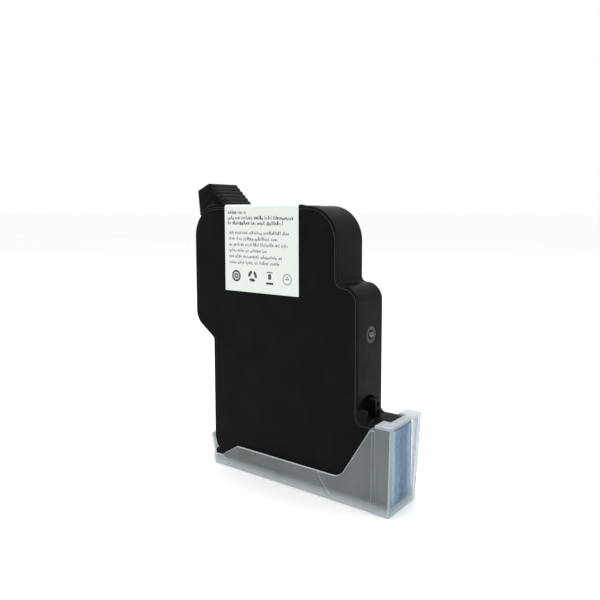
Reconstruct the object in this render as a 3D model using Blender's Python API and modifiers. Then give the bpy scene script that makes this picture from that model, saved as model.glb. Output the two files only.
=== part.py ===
"""Ink cartridge of a hand-held date coder, standing in its clear nozzle cap.

The cartridge is a rigid outer frame with two inset covers. Inside it an inner frame, two
films, two pressure plates and a bow spring hold the ink under slight suction, and a filter
and a manifold lead it to the print head in the nose. The cap hooks over the nose and
swings down about the edge of its two hooks.

Sizes are millimetres in the drawing frame: X runs from the body's left edge to the nose,
Y from the front face to the back, and Z up from the foot of the body. The empty
drawing_origin carries that frame to the row's origin, under the middle of the object.
"""

import math

import bmesh
import bpy
from mathutils import Matrix, Vector

MM = 0.001

# Body
HALF_THICK = 11.25
BODY_BOTTOM = 0.6
BODY_TOP = 142.3
HEAD_LEFT = -13.4
HEAD_RIGHT = 82.7
HEAD_UNDER = 79.0
NECK = 69.4
SHOULDER = 104.6
BODY_RIGHT = 94.5
NOSE_TOP = 40.0
NOSE_RIGHT = 111.2
COVER_RIGHT = 103.4
RIM = 0.9
GAP = 0.3
SHELL_WALL = 2.6
COVER_THICK = 1.6

# Ink bag
BAG_HALF = 8.8
BAG_RING_WALL = 3.0
FILM_THICK = 0.3
PLATE_THICK = 0.5
PLATE_FACE = 7.9
PLATE_MARGIN = 6.0
SPRING_Z = 78.0

# Print head
HEAD_MID = 1.2
HEAD_Y = 4.9
HEAD_Z = (3.4, 37.4)
FLEX_THICK = 0.25
FLEX_HALF = 9.2
FLEX_LEFT = 83.0
TAPE_HALF = 9.4

# Fill port in the right side
PORT_Y = 1.0
PORT_Z = 80.2

# Lug above the nose, and the thin gusset in front of it
LUG_RIGHT = 98.0
LUG_Y = (-0.6, 4.8)
LUG_TOP = 48.9
LUG_HOLE_Z = (42.2, 46.1)
GUSSET_RIGHT = 99.4
GUSSET_TOP = 46.1
GUSSET_THICK = 1.3

# Grip tab on the head's left corner
TAB_LEFT = -10.9
TAB_RIDGE = (-2.4, 154.7)
TAB_RIGHT = 9.4
TAB_TEETH = 6

# Label
LABEL_X = (9.8, 59.7)
LABEL_BOTTOM = 97.1
LABEL_THICK = 0.22
LABEL_FOLD = 143.3

# Nozzle cap
CAP_BOTTOM = -1.5
CAP_TOP = 42.2
CAP_LEFT_FOOT = -0.8
CAP_LEFT_LEAN = 0.25
CAP_RIGHT_FOOT = 113.0
CAP_HALF_FOOT = 12.7
CAP_SLEEVE_STEP = 0.6
CAP_DRAFT = 0.044
CAP_WALL = 1.1
CAP_UPRIGHT_TOP = 13.9
CAP_UPRIGHT_HALF = 10.0
CAP_SLEEVE_LEFT = 104.0
CAP_HOOK_LEFT = 105.8
CAP_HOOK_INNER = 7.3
CAP_HOOK_UNDER = 40.7

ROW_X = -(HEAD_LEFT + CAP_RIGHT_FOOT + CAP_DRAFT * (CAP_TOP - CAP_BOTTOM)) / 2

# Corners (x, z, radius), clockwise from the lower left
LEFT_SIDE = [
    (0.0, BODY_BOTTOM, 15.0),
    (0.0, NECK, 3.0),
    (HEAD_LEFT, HEAD_UNDER, 10.0),
    (HEAD_LEFT, BODY_TOP, 16.5),
]
RIGHT_SIDE = [
    (HEAD_RIGHT, BODY_TOP, 17.5),
    (HEAD_RIGHT, SHOULDER, 3.0),
    (BODY_RIGHT, SHOULDER, 8.5),
]
BODY = LEFT_SIDE + RIGHT_SIDE + [
    (BODY_RIGHT, NOSE_TOP, 2.5),
    (NOSE_RIGHT, NOSE_TOP, 0.8),
    (NOSE_RIGHT, BODY_BOTTOM, 1.5),
]
COVERED = LEFT_SIDE + RIGHT_SIDE + [
    (BODY_RIGHT, NOSE_TOP, 2.5),
    (COVER_RIGHT, NOSE_TOP, 1.6),
    (COVER_RIGHT, BODY_BOTTOM, 1.6),
]
CHAMBER = LEFT_SIDE + RIGHT_SIDE + [(BODY_RIGHT, BODY_BOTTOM, 6.0)]


def new_collection(name):
    collection = bpy.data.collections.new(name)
    bpy.context.scene.collection.children.link(collection)
    return collection


def material(name, colour, roughness, metallic=0.0, alpha=1.0):
    made = bpy.data.materials.new(name)
    made.use_nodes = True
    shader = made.node_tree.nodes["Principled BSDF"]
    shader.inputs["Base Color"].default_value = (*colour, 1.0)
    shader.inputs["Roughness"].default_value = roughness
    shader.inputs["Metallic"].default_value = metallic
    shader.inputs["Alpha"].default_value = alpha
    return made


def place(name, mesh, finish=None):
    """An object for this mesh: a part when it has a finish, and a hidden cutter when not."""
    made = bpy.data.objects.new(name, mesh)
    if finish is None:
        cutters.objects.link(made)
        made.hide_render = True
        made.display_type = "WIRE"
    else:
        parts.objects.link(made)
        mesh.materials.append(finish)
    made.parent = origin
    return made


def from_bmesh(name, shape, finish):
    bmesh.ops.recalc_face_normals(shape, faces=shape.faces)
    mesh = bpy.data.meshes.new(name)
    shape.to_mesh(mesh)
    shape.free()
    return place(name, mesh, finish)


def box(name, x, y, z, finish=None):
    """A block between the two values of x, of y and of z."""
    low = Vector((x[0], y[0], z[0])) * MM
    high = Vector((x[1], y[1], z[1])) * MM
    shape = bmesh.new()
    bmesh.ops.create_cube(shape, size=1.0)
    stretch = Matrix.Diagonal((*(high - low), 1.0))
    bmesh.ops.transform(
        shape, matrix=Matrix.Translation((low + high) / 2) @ stretch, verts=shape.verts
    )
    return from_bmesh(name, shape, finish)


def cylinder(name, x, centre_y, centre_z, radius, finish=None, segments=24):
    """A round bar along X between the two values of x."""
    shape = bmesh.new()
    bmesh.ops.create_cone(
        shape, cap_ends=True, segments=segments, depth=(x[1] - x[0]) * MM,
        radius1=radius * MM, radius2=radius * MM,
    )
    turn = Matrix.Rotation(math.radians(90), 4, "Y")
    middle = Vector((sum(x) / 2, centre_y, centre_z)) * MM
    bmesh.ops.transform(shape, matrix=Matrix.Translation(middle) @ turn, verts=shape.verts)
    return from_bmesh(name, shape, finish)


def inset(corners, distance):
    """The corners moved inwards by this distance, with each radius kept concentric."""
    moved = []
    count = len(corners)
    for at in range(count):
        before, here, after = (Vector(corners[(at + k) % count][:2]) for k in (-1, 0, 1))
        arrive = (here - before).normalized()
        leave = (after - here).normalized()
        inward_in = Vector((arrive.y, -arrive.x))
        inward_out = Vector((leave.y, -leave.x))
        shift = (inward_in + inward_out) / (1 + inward_in.dot(inward_out)) * distance
        convex = arrive.cross(leave) < 0
        radius = corners[at][2] + (-distance if convex else distance)
        moved.append((*(here + shift), max(radius, 0.4)))
    return moved


def rounded(corners, step_degrees=11.0):
    """The outline's points, with an arc of short chords at each corner."""
    points = []
    count = len(corners)
    for at in range(count):
        before, here, after = (Vector(corners[(at + k) % count][:2]) for k in (-1, 0, 1))
        arrive = (here - before).normalized()
        leave = (after - here).normalized()
        turn = arrive.angle_signed(leave)
        radius = corners[at][2]
        start = here - arrive * radius * math.tan(abs(turn) / 2)
        side = Vector((arrive.y, -arrive.x)) * math.copysign(1.0, turn)
        centre = start + side * radius
        chords = max(2, math.ceil(math.degrees(abs(turn)) / step_degrees))
        for chord in range(chords + 1):
            spoke = Matrix.Rotation(-turn * chord / chords, 2) @ (start - centre)
            points.append(centre + spoke)
    return points


def sheet(name, points, low, high, finish=None, upright="Y", soften=0.0):
    """A flat outline, filled and extruded from low to high along Y, Z or X.

    The points are (x, z) along Y, (x, y) along Z and (y, z) along X.
    """
    outline = bpy.data.curves.new(name, "CURVE")
    outline.dimensions = "2D"
    outline.fill_mode = "BOTH"
    outline.extrude = ((high - low) / 2 - soften) * MM
    outline.bevel_depth = soften * MM
    outline.bevel_resolution = 1
    outline.offset = -soften * MM
    spline = outline.splines.new("POLY")
    spline.points.add(len(points) - 1)
    for point, (across, up) in zip(spline.points, points):
        point.co = (across * MM, up * MM, 0.0, 1.0)
    spline.use_cyclic_u = True
    drawn = bpy.data.objects.new(name + "_outline", outline)
    cutters.objects.link(drawn)
    graph = bpy.context.evaluated_depsgraph_get()
    mesh = bpy.data.meshes.new_from_object(drawn.evaluated_get(graph))
    bpy.data.objects.remove(drawn)
    middle = (low + high) / 2 * MM
    turns = {
        "Z": Matrix.Translation((0, 0, middle)),
        "Y": Matrix.Translation((0, middle, 0)) @ Matrix.Rotation(math.radians(90), 4, "X"),
        "X": Matrix.Translation((middle, 0, 0))
        @ Matrix.Rotation(math.radians(90), 4, "Z")
        @ Matrix.Rotation(math.radians(90), 4, "X"),
    }
    shape = bmesh.new()
    shape.from_mesh(mesh)
    bpy.data.meshes.remove(mesh)
    bmesh.ops.remove_doubles(shape, verts=shape.verts, dist=1e-6)
    bmesh.ops.dissolve_limit(shape, angle_limit=1e-3, verts=shape.verts, edges=shape.edges)
    bmesh.ops.transform(shape, matrix=turns[upright], verts=shape.verts)
    return from_bmesh(name, shape, finish)


def combine(target, other, operation):
    step = target.modifiers.new(operation.lower(), "BOOLEAN")
    step.operation = operation
    step.solver = "EXACT"
    step.object = other


def cut(target, *others):
    for other in others:
        combine(target, other, "DIFFERENCE")


def join(target, *others):
    for other in others:
        combine(target, other, "UNION")


def soften_edges(target, width, segments=2, angle=40):
    step = target.modifiers.new("soft_edges", "BEVEL")
    step.width = width * MM
    step.segments = segments
    step.limit_method = "ANGLE"
    step.angle_limit = math.radians(angle)


def both_sides(y):
    """The same stretch of Y in front of the middle and behind it."""
    return (-y[1], -y[0]), y


def about_head(half):
    """The stretch of Y this far to each side of the print head's middle."""
    return HEAD_MID - half, HEAD_MID + half


def bar(name, y, corners, finish=None, soften=0.0):
    """A rounded outline in X and Z, extruded between the two values of y."""
    return sheet(name, rounded(corners), y[0], y[1], finish, "Y", soften)


def frame_lug():
    lug = box("lug_block", (BODY_RIGHT - 2.0, LUG_RIGHT), LUG_Y, (NOSE_TOP - 1.5, LUG_TOP))
    soften_edges(lug, 0.5)
    hole_x = (LUG_RIGHT - 2.4, LUG_RIGHT + 1)
    for number, height in enumerate(LUG_HOLE_Z):
        cut(lug, cylinder(f"lug_hole_{number}", hole_x, sum(LUG_Y) / 2, height, 1.15, segments=16))
    return lug


def lug_pocket():
    """The shallow arched recess in the right side, around the lug."""
    arch = cylinder("pocket_arch", (BODY_RIGHT - 1.5, BODY_RIGHT + 3), -2.5, 38.6, 12.2, segments=48)
    room = box("pocket_room", (80, 110), (GUSSET_THICK - HALF_THICK, 8.6), (NOSE_TOP + 0.2, 60))
    combine(arch, room, "INTERSECT")
    return arch


def outer_frame():
    """The rigid outer shell: a ring round the bag chamber, with the nose, lug and latch nubs."""
    frame = bar("outer_frame", (-HALF_THICK, HALF_THICK), BODY, black, soften=0.35)
    gusset_y = (0.1 - HALF_THICK, GUSSET_THICK - HALF_THICK)
    gusset_z = (NOSE_TOP - 0.6, GUSSET_TOP)
    join(frame, box("front_gusset", (BODY_RIGHT - 0.6, GUSSET_RIGHT), gusset_y, gusset_z))
    covers = inset(COVERED, RIM)
    seat = HALF_THICK - COVER_THICK - GAP
    for side, y in zip(("front", "back"), both_sides((seat, HALF_THICK + 1))):
        cut(frame, bar(f"{side}_cover_seat", y, covers))
    cut(frame, bar("bag_chamber", (-HALF_THICK, HALF_THICK), inset(CHAMBER, SHELL_WALL)))
    cut(
        frame,
        box("head_pocket", (NOSE_RIGHT - 6.5, NOSE_RIGHT + 2), about_head(HEAD_Y + GAP),
            (HEAD_Z[0] - GAP, HEAD_Z[1] + GAP)),
        box("ink_passage", (BODY_RIGHT - 6, NOSE_RIGHT - 6), about_head(2.6), (8.0, 32.0)),
        box("flex_face_seat", (NOSE_RIGHT - 0.6, NOSE_RIGHT + 2), (-FLEX_HALF - GAP, FLEX_HALF + GAP),
            (-2.0, 38.8)),
        box("flex_foot_seat", (FLEX_LEFT - GAP, NOSE_RIGHT + 2), (-FLEX_HALF - GAP, FLEX_HALF + GAP),
            (-2.0, BODY_BOTTOM + 0.65)),
        cylinder("port_recess", (BODY_RIGHT - 0.9, BODY_RIGHT + 1), PORT_Y, PORT_Z, 4.6, segments=40),
        cylinder("port_hole", (BODY_RIGHT - 6, BODY_RIGHT + 1), PORT_Y, PORT_Z, 3.2, segments=32),
        lug_pocket(),
    )
    join(frame, frame_lug())
    for side, y in zip(("front", "back"), both_sides((9.0, 11.0))):
        nub = box(f"{side}_latch_nub", (0.4, 8.0), y, (3.6, 6.2))
        cut(nub, bar(f"{side}_nub_trim", (-20, 20), inset(BODY, RIM / 2)))
        join(frame, nub)
    return frame


def inner_frame():
    """The soft ring inside the shell that both films are welded to, with its ink window."""
    ring = bar("inner_frame", (-BAG_HALF, BAG_HALF), inset(CHAMBER, SHELL_WALL + GAP), natural)
    opening = inset(CHAMBER, SHELL_WALL + GAP + BAG_RING_WALL)
    window = box("ink_window", (BODY_RIGHT - 10, BODY_RIGHT), about_head(2.0), (9.0, 31.0))
    port = cylinder("ring_port_hole", (BODY_RIGHT - 10, BODY_RIGHT), PORT_Y, PORT_Z, 3.2, segments=20)
    cut(ring, bar("bag_opening", (-BAG_HALF - 1, BAG_HALF + 1), opening), window, port)
    return ring


def covers():
    outline = inset(COVERED, RIM + GAP)
    inner = HALF_THICK - 0.05 - COVER_THICK
    for side, y in zip(("front", "back"), both_sides((inner, HALF_THICK - 0.05))):
        bar(f"{side}_cover", y, outline, cover_black, soften=0.25)


def comb(name, start, end, teeth, depth, reach):
    """A saw-toothed cutter lying outside the line from start to end, seen along Y."""
    start, end = Vector(start), Vector(end)
    along = (end - start) / teeth
    outward = Vector((-along.y, along.x)).normalized()
    points = [end + outward * reach, start + outward * reach]
    for tooth in range(teeth):
        root = start + along * tooth
        points += [root, root + along * 0.82 - outward * depth, root + along]
    return sheet(name, points, -20, 20)


def grip_tab():
    """The ribbed finger tab on the head's left corner, rounded at the front of its slope."""
    foot_left = (TAB_LEFT + 1.9, BODY_TOP - 8.5)
    shoulder = (TAB_LEFT, TAB_RIDGE[1] - 3.8)
    slope_end = (TAB_RIGHT, BODY_TOP + 1.1)
    foot_right = (TAB_RIGHT, BODY_TOP - 2.0)
    outline = [foot_left, shoulder, TAB_RIDGE, slope_end, foot_right]
    tab = sheet("grip_tab", outline, -HALF_THICK, HALF_THICK, black)
    shape = bmesh.new()
    shape.from_mesh(tab.data)
    slope = [
        edge for edge in shape.edges
        if max(vert.co.y for vert in edge.verts) < 0
        and {round(vert.co.x / MM, 2) for vert in edge.verts} == {TAB_RIDGE[0], TAB_RIGHT}
        and len({round(vert.co.z / MM, 2) for vert in edge.verts} & {TAB_RIDGE[1], slope_end[1]}) == 2
    ]
    bmesh.ops.bevel(shape, geom=slope, offset=2.5 * MM, segments=4, affect="EDGES", profile=0.5)
    shape.to_mesh(tab.data)
    shape.free()
    cut(tab, comb("slope_teeth", TAB_RIDGE, slope_end, TAB_TEETH, 0.55, 4.0))
    cut(tab, comb("side_teeth", foot_left, shoulder, 9, 0.3, 4.0))
    cut(tab, bar("body_room", (-20, 20), inset(BODY, -GAP)))


def label():
    """A paper label on the front cover, folded over the top edge with a loose bend."""
    face = -HALF_THICK - 0.1
    centre = [
        (face, LABEL_BOTTOM),
        (face, BODY_TOP - 1.0),
        (face - 0.1, BODY_TOP + 0.2),
        (face + 0.3, LABEL_FOLD - 0.3),
        (face + 1.2, LABEL_FOLD - 0.1),
        (face + 4.0, BODY_TOP + 0.45),
        (face + 8.0, BODY_TOP + 0.1),
        (face + 19.0, BODY_TOP + 0.1),
    ]
    outer = []
    for at, (y, z) in enumerate(centre):
        before = Vector(centre[max(at - 1, 0)])
        after = Vector(centre[min(at + 1, len(centre) - 1)])
        along = (after - before).normalized()
        outer.append((y - along.y * LABEL_THICK, z + along.x * LABEL_THICK))
    sheet("label", centre + outer[::-1], *LABEL_X, paper, "X")


def turned(name, profile, finish, location):
    """A profile of (radius, x) points turned about an axis along X through the location."""
    shape = bmesh.new()
    points = [shape.verts.new((x * MM, radius * MM, 0)) for radius, x in profile]
    for first, second in zip(points, points[1:] + points[:1]):
        shape.edges.new((first, second))
    mesh = bpy.data.meshes.new(name)
    shape.to_mesh(mesh)
    shape.free()
    made = place(name, mesh, finish)
    made.location = Vector(location) * MM
    spin = made.modifiers.new("turn", "SCREW")
    spin.axis = "X"
    spin.steps = spin.render_steps = 32
    spin.use_merge_vertices = True
    spin.merge_threshold = 0.00001
    spin.use_normal_flip = True
    return made


def fill_port():
    """The stopper in the right side, and the ball that seals it."""
    stem = [(1.5, -3.4), (2.95, -3.4), (2.95, -0.65)]
    flange = [(4.35, -0.65), (4.35, -0.12), (2.1, -0.12), (2.1, -1.3)]
    turned("fill_plug", stem + flange, black, (BODY_RIGHT, PORT_Y, PORT_Z))
    shape = bmesh.new()
    bmesh.ops.create_uvsphere(shape, u_segments=16, v_segments=10, radius=1.75 * MM)
    place_at = Vector((BODY_RIGHT - 0.95, PORT_Y, PORT_Z)) * MM
    bmesh.ops.translate(shape, vec=place_at, verts=shape.verts)
    from_bmesh("fill_ball", shape, steel)


def slide_origin(part, y):
    """Gives a sliding part its origin on its own slide axis, through its middle."""
    middle = Vector((HEAD_RIGHT / 2, y, (BODY_BOTTOM + BODY_TOP) / 2)) * MM
    part.data.transform(Matrix.Translation(-middle))
    part.location = middle


def ink_bag():
    """Films, edge guards, pressure plates and the bow spring that keeps the bag under suction."""
    ring_in = SHELL_WALL + GAP + BAG_RING_WALL
    film = inset(CHAMBER, SHELL_WALL + GAP + 0.5)
    guard = inset(CHAMBER, ring_in + PLATE_MARGIN - 3.0)
    plate = inset(CHAMBER, ring_in + PLATE_MARGIN)
    film_y = (BAG_HALF + 0.1, BAG_HALF + 0.1 + FILM_THICK)
    guard_y = (PLATE_FACE + PLATE_THICK + 0.15, BAG_HALF - 0.05)
    plate_y = (PLATE_FACE, PLATE_FACE + PLATE_THICK)
    for side, at in (("front", 0), ("back", 1)):
        bar(f"bag_film_{side}", both_sides(film_y)[at], film, clear_film)
        for name, stretch, outline, finish in (
            (f"edge_guard_{side}", guard_y, guard, clear_film),
            (f"pressure_plate_{side}", plate_y, plate, steel),
        ):
            y = both_sides(stretch)[at]
            slide_origin(bar(name, y, outline, finish), sum(y) / 2)
    reach = (30.0, PLATE_FACE - 0.2)
    ring = []
    for radii in (reach, (reach[0] - 0.4, reach[1] - 0.4)):
        turns = [2 * math.pi * step / 48 for step in range(48)]
        ring.append([(HEAD_RIGHT / 2 + radii[0] * math.cos(a), radii[1] * math.sin(a)) for a in turns])
    spring = sheet("bow_spring", ring[0], SPRING_Z - 7, SPRING_Z + 7, steel, "Z")
    cut(spring, sheet("spring_core", ring[1], SPRING_Z - 20, SPRING_Z + 20, None, "Z"))


def ink_path():
    """The filter over the bag's ink window and the duct from there to the print head."""
    ring_face = BODY_RIGHT - SHELL_WALL - GAP - BAG_RING_WALL
    box("ink_filter", (ring_face - 0.6, ring_face - 0.25), about_head(5.0), (7.0, 33.0), steel)
    duct_x = (BODY_RIGHT - 2.3, NOSE_RIGHT - 6.75)
    duct = box("ink_manifold", duct_x, about_head(2.3), (8.3, 31.7), natural)
    cut(duct, box("duct_bore", (80, 120), about_head(1.2), (9.6, 30.4)))


def print_head():
    """The carrier, die, orifice plate, flexible circuit, sealant and tape in the nose."""
    middle = sum(HEAD_Z) / 2
    face = NOSE_RIGHT - 0.6
    carrier = box("head_carrier", (NOSE_RIGHT - 6.3, face - 0.1), about_head(HEAD_Y), HEAD_Z, ceramic)
    cut(carrier, box("carrier_slot", (90, 120), about_head(1.0), (middle - 14, middle + 14)))
    cut(carrier, box("die_seat", (face - 0.9, 120), about_head(2.6), (middle - 15.3, middle + 15.3)))
    die_z = (middle - 15.1, middle + 15.1)
    die = box("nozzle_die", (face - 0.8, face - 0.15), about_head(2.4), die_z, silicon)
    cut(die, box("die_slot", (90, 120), about_head(0.25), (middle - 13, middle + 13)))
    outside = NOSE_RIGHT - 0.2
    plate_x = (outside - FLEX_THICK, outside)
    box("nozzle_plate", plate_x, about_head(3.0), (middle - 14, middle + 14), orifice)
    flex_circuit(middle, outside)
    bead_x = (outside + 0.05, NOSE_RIGHT + 0.12)
    for end, z in (("lower", (middle - 15.9, middle - 14.5)), ("upper", (middle + 14.5, middle + 15.9))):
        bead = box(f"encapsulant_{end}", bead_x, about_head(2.8), z, sealant)
        soften_edges(bead, 0.05, 1)
    tape_z = (middle - 18.2, middle + 17.2)
    box("nozzle_tape", (NOSE_RIGHT + 0.2, NOSE_RIGHT + 0.42), about_head(TAPE_HALF), tape_z, tape_blue)


def flex_circuit(middle, outside):
    """A thin circuit on the nose's end that folds under it to the contacts."""
    under = BODY_BOTTOM + 0.15
    bend = 0.55
    arc = [math.radians(-90 * step / 4) for step in range(5)]
    outer = [(outside, 38.0)]
    outer += [(outside - bend + bend * math.cos(a), under + bend + bend * math.sin(a)) for a in arc]
    outer += [(FLEX_LEFT, under)]
    small = bend - FLEX_THICK
    inner = [(FLEX_LEFT, under + FLEX_THICK)]
    inner += [(outside - bend + small * math.cos(a), under + bend + small * math.sin(a)) for a in arc[::-1]]
    inner += [(outside - FLEX_THICK, 38.0)]
    flex = sheet("flex_circuit", outer + inner, -FLEX_HALF, FLEX_HALF, polyimide)
    window_z = (middle - 14.2, middle + 14.2)
    cut(flex, box("plate_window", (NOSE_RIGHT - 3, NOSE_RIGHT + 3), about_head(3.2), window_z))
    contact_pads(under)


def contact_pads(under):
    """Rows of gold pads under the nose, linked by their plated traces."""
    z = (under - 0.14, under - 0.04)
    first = FLEX_LEFT + 2.4
    pads = box("contact_pads", (first - 1.0, first - 0.6), (-6.0, 6.0), z, gold)
    for row in range(3):
        y = -4.6 + 4.6 * row
        join(pads, box(f"trace_{row}", (first - 0.8, first + 19.0), (y - 0.2, y + 0.2), z))
        for column in range(8):
            x = first + 2.6 * column
            join(pads, box(f"pad_{row}_{column}", (x, x + 1.7), (y - 1.0, y + 1.0), z))


def drafted(name, x_foot, half_foot, z, lean, bevels, finish=None):
    """A block whose sides lean outwards as they rise, with its upright and foot edges rounded.

    lean is the widening per unit of height of the left end, and bevels holds the radii of the
    left upright edges, the right upright edges and the foot's edges.
    """
    rise = z[1] - z[0]
    shape = bmesh.new()
    bmesh.ops.create_cube(shape, size=1.0)
    for vert in shape.verts:
        top = vert.co.z > 0
        grow = CAP_DRAFT * rise if top else 0.0
        left = x_foot[0] - (lean * rise if top else 0.0)
        vert.co = Vector((
            left if vert.co.x < 0 else x_foot[1] + grow,
            math.copysign(half_foot + grow, vert.co.y),
            z[1] if top else z[0],
        )) * MM
    for radius, wanted in zip(bevels, ("left", "right", "foot")):
        if radius <= 0:
            continue
        middle = sum(x_foot) / 2 * MM
        foot = (z[0] + 1e-3) * MM
        picked = []
        for edge in shape.edges:
            ends = [vert.co for vert in edge.verts]
            upright = abs(ends[0].z - ends[1].z) > rise * MM * 0.5
            low = all(end.z < foot for end in ends)
            on_left = all(end.x < middle for end in ends)
            if wanted == "foot" and low or upright and wanted == ("left" if on_left else "right"):
                picked.append(edge)
        bmesh.ops.bevel(shape, geom=picked, offset=radius * MM, segments=3, affect="EDGES", profile=0.5)
    return from_bmesh(name, shape, finish)


def cap_profile():
    """What is left of the cap seen from the front: an upright, a low wall, an S curve and a sleeve."""
    outline = [
        (-20.0, CAP_BOTTOM - 5, 0.0),
        (-20.0, CAP_UPRIGHT_TOP, 0.0),
        (-0.9, CAP_UPRIGHT_TOP, 0.0),
        (-0.9, 4.0, 0.0),
        (6.2, 4.1, 1.0),
        (18.3, 11.7, 1.0),
        (85.5, 11.5, 8.0),
        (103.8, 39.9, 1.5),
        (CAP_HOOK_LEFT, CAP_TOP - 1.4, 0.0),
        (CAP_HOOK_LEFT, CAP_TOP, 0.0),
        (130.0, CAP_TOP, 0.0),
        (130.0, CAP_BOTTOM - 5, 0.0),
    ]
    return bar("cap_keep", (-30, 30), [(x, z, max(radius, 0.05)) for x, z, radius in outline])


def nozzle_cap():
    """The clear cap round the nose and foot. Its origin is on the hinge line of its hooks."""
    z = (CAP_BOTTOM, CAP_TOP + 3)
    body_x = (CAP_LEFT_FOOT, CAP_SLEEVE_LEFT + 2)
    cap = drafted("nozzle_cap", body_x, CAP_HALF_FOOT, z, CAP_LEFT_LEAN, (3.0, 0, 0.9), clear)
    sleeve_x = (CAP_SLEEVE_LEFT, CAP_RIGHT_FOOT)
    join(cap, drafted("cap_sleeve", sleeve_x, CAP_HALF_FOOT + CAP_SLEEVE_STEP, z, 0.0, (0, 0.8, 0.9)))
    room_z = (CAP_BOTTOM + 1.2, CAP_HOOK_UNDER)
    room_x = (CAP_LEFT_FOOT + CAP_WALL, CAP_SLEEVE_LEFT + 3)
    half = CAP_HALF_FOOT - CAP_WALL
    cut(cap, drafted("cap_room", room_x, half, room_z, CAP_LEFT_LEAN, (2.0, 0, 0)))
    sleeve_room_x = (CAP_SLEEVE_LEFT + CAP_WALL, CAP_RIGHT_FOOT - CAP_WALL)
    sleeve_z = (room_z[0] - 0.15, CAP_HOOK_UNDER + 0.1)
    cut(cap, drafted("sleeve_room", sleeve_room_x, half + CAP_SLEEVE_STEP, sleeve_z, 0.0, (0, 0, 0)))
    cut(
        cap,
        box("open_top", (-20, CAP_HOOK_LEFT), (-14.0, 14.0), (CAP_HOOK_UNDER - 2, CAP_TOP + 5)),
        box("hook_gap", (CAP_HOOK_LEFT - 2, NOSE_RIGHT - 1.0), (-CAP_HOOK_INNER, CAP_HOOK_INNER),
            (CAP_HOOK_UNDER - 1, CAP_TOP + 6)),
    )
    combine(cap, cap_profile(), "INTERSECT")
    for side, y in zip(("front", "back"), both_sides((CAP_UPRIGHT_HALF, 30))):
        cut(cap, box(f"{side}_corner_gap", (-20, -0.8), y, (3.4, 60)))
    pivot = Vector((CAP_HOOK_LEFT, 0, CAP_HOOK_UNDER)) * MM
    cap.data.transform(Matrix.Translation(-pivot))
    cap.location = pivot
    return cap


for leftover in list(bpy.data.objects):
    bpy.data.objects.remove(leftover)

parts = new_collection("ink_cartridge")
cutters = new_collection("cutters")
origin = bpy.data.objects.new("drawing_origin", None)
parts.objects.link(origin)
origin.location = Vector((ROW_X, 0, -CAP_BOTTOM)) * MM

black = material("black_plastic", (0.018, 0.019, 0.021), 0.42)
cover_black = material("cover_plastic", (0.012, 0.013, 0.014), 0.5)
natural = material("natural_plastic", (0.62, 0.62, 0.58), 0.5)
clear = material("clear_plastic", (0.78, 0.83, 0.86), 0.25, alpha=0.45)
clear_film = material("bag_film", (0.7, 0.7, 0.72), 0.3, alpha=0.6)
paper = material("label_paper", (0.82, 0.86, 0.81), 0.6)
steel = material("stainless_steel", (0.6, 0.6, 0.6), 0.3, metallic=1.0)
ceramic = material("head_ceramic", (0.55, 0.53, 0.5), 0.6)
silicon = material("silicon", (0.12, 0.13, 0.17), 0.15)
orifice = material("orifice_plate", (0.75, 0.6, 0.3), 0.3, metallic=1.0)
polyimide = material("polyimide", (0.36, 0.17, 0.04), 0.35)
gold = material("contact_gold", (0.85, 0.62, 0.25), 0.25, metallic=1.0)
sealant = material("sealant", (0.02, 0.02, 0.02), 0.35)
tape_blue = material("tape_blue", (0.1, 0.24, 0.5), 0.35)

outer_frame()
inner_frame()
covers()
grip_tab()
label()
fill_port()
ink_bag()
ink_path()
print_head()
nozzle_cap()
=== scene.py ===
"""The looks of a date coder's ink cartridge and its clear nozzle cap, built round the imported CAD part.

Shapes are drawn in millimetres, in the same drawing frame as the CAD: x from the body's left side,
y from the front (-) to the back (+), z up from the foot. finish_piece() puts them in the row frame.
"""

import math
import random

import bmesh
import bpy
from mathutils import Matrix, Vector


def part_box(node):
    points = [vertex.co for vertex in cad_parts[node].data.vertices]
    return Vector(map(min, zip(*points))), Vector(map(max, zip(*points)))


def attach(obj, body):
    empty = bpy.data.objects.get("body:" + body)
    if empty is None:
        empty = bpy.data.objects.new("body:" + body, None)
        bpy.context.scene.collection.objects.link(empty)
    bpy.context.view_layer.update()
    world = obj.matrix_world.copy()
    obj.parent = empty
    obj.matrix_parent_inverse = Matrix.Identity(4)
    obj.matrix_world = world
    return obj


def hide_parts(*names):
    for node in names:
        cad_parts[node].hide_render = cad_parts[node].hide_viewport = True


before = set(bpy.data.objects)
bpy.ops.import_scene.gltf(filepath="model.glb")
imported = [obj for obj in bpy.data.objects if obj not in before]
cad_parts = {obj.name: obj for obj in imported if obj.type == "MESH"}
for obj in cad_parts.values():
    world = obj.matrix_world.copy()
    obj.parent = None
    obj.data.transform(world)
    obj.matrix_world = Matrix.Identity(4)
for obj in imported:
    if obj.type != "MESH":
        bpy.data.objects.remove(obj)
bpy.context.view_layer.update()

MM = 0.001

# Body, as in the CAD
HALF = 11.25
BODY_BOTTOM = 0.6
BODY_TOP = 142.3
HEAD_LEFT = -13.4
HEAD_RIGHT = 82.7
HEAD_UNDER = 79.0
NECK = 69.4
SHOULDER = 104.6
BODY_RIGHT = 94.5
NOSE_TOP = 40.0
NOSE_RIGHT = 111.2
COVER_RIGHT = 103.4
COVER_THICK = 1.6
RIM = 0.9
GAP = 0.3
SHELL_WALL = 2.6

# Print head pocket
HEAD_MID = 1.2
HEAD_HALF = 4.9
HEAD_Z = (3.4, 37.4)
FLEX_HALF = 9.2
FLEX_LEFT = 83.0

# Fill port, lug and gusset on the right side
PORT_Y = 1.0
PORT_Z = 80.2
LUG_RIGHT = 98.0
LUG_Y = (-0.6, 4.8)
LUG_TOP = 48.9
LUG_HOLES = (42.2, 46.1)
GUSSET_RIGHT = 99.4
GUSSET_TOP = 46.1
GUSSET_THICK = 1.3

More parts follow.
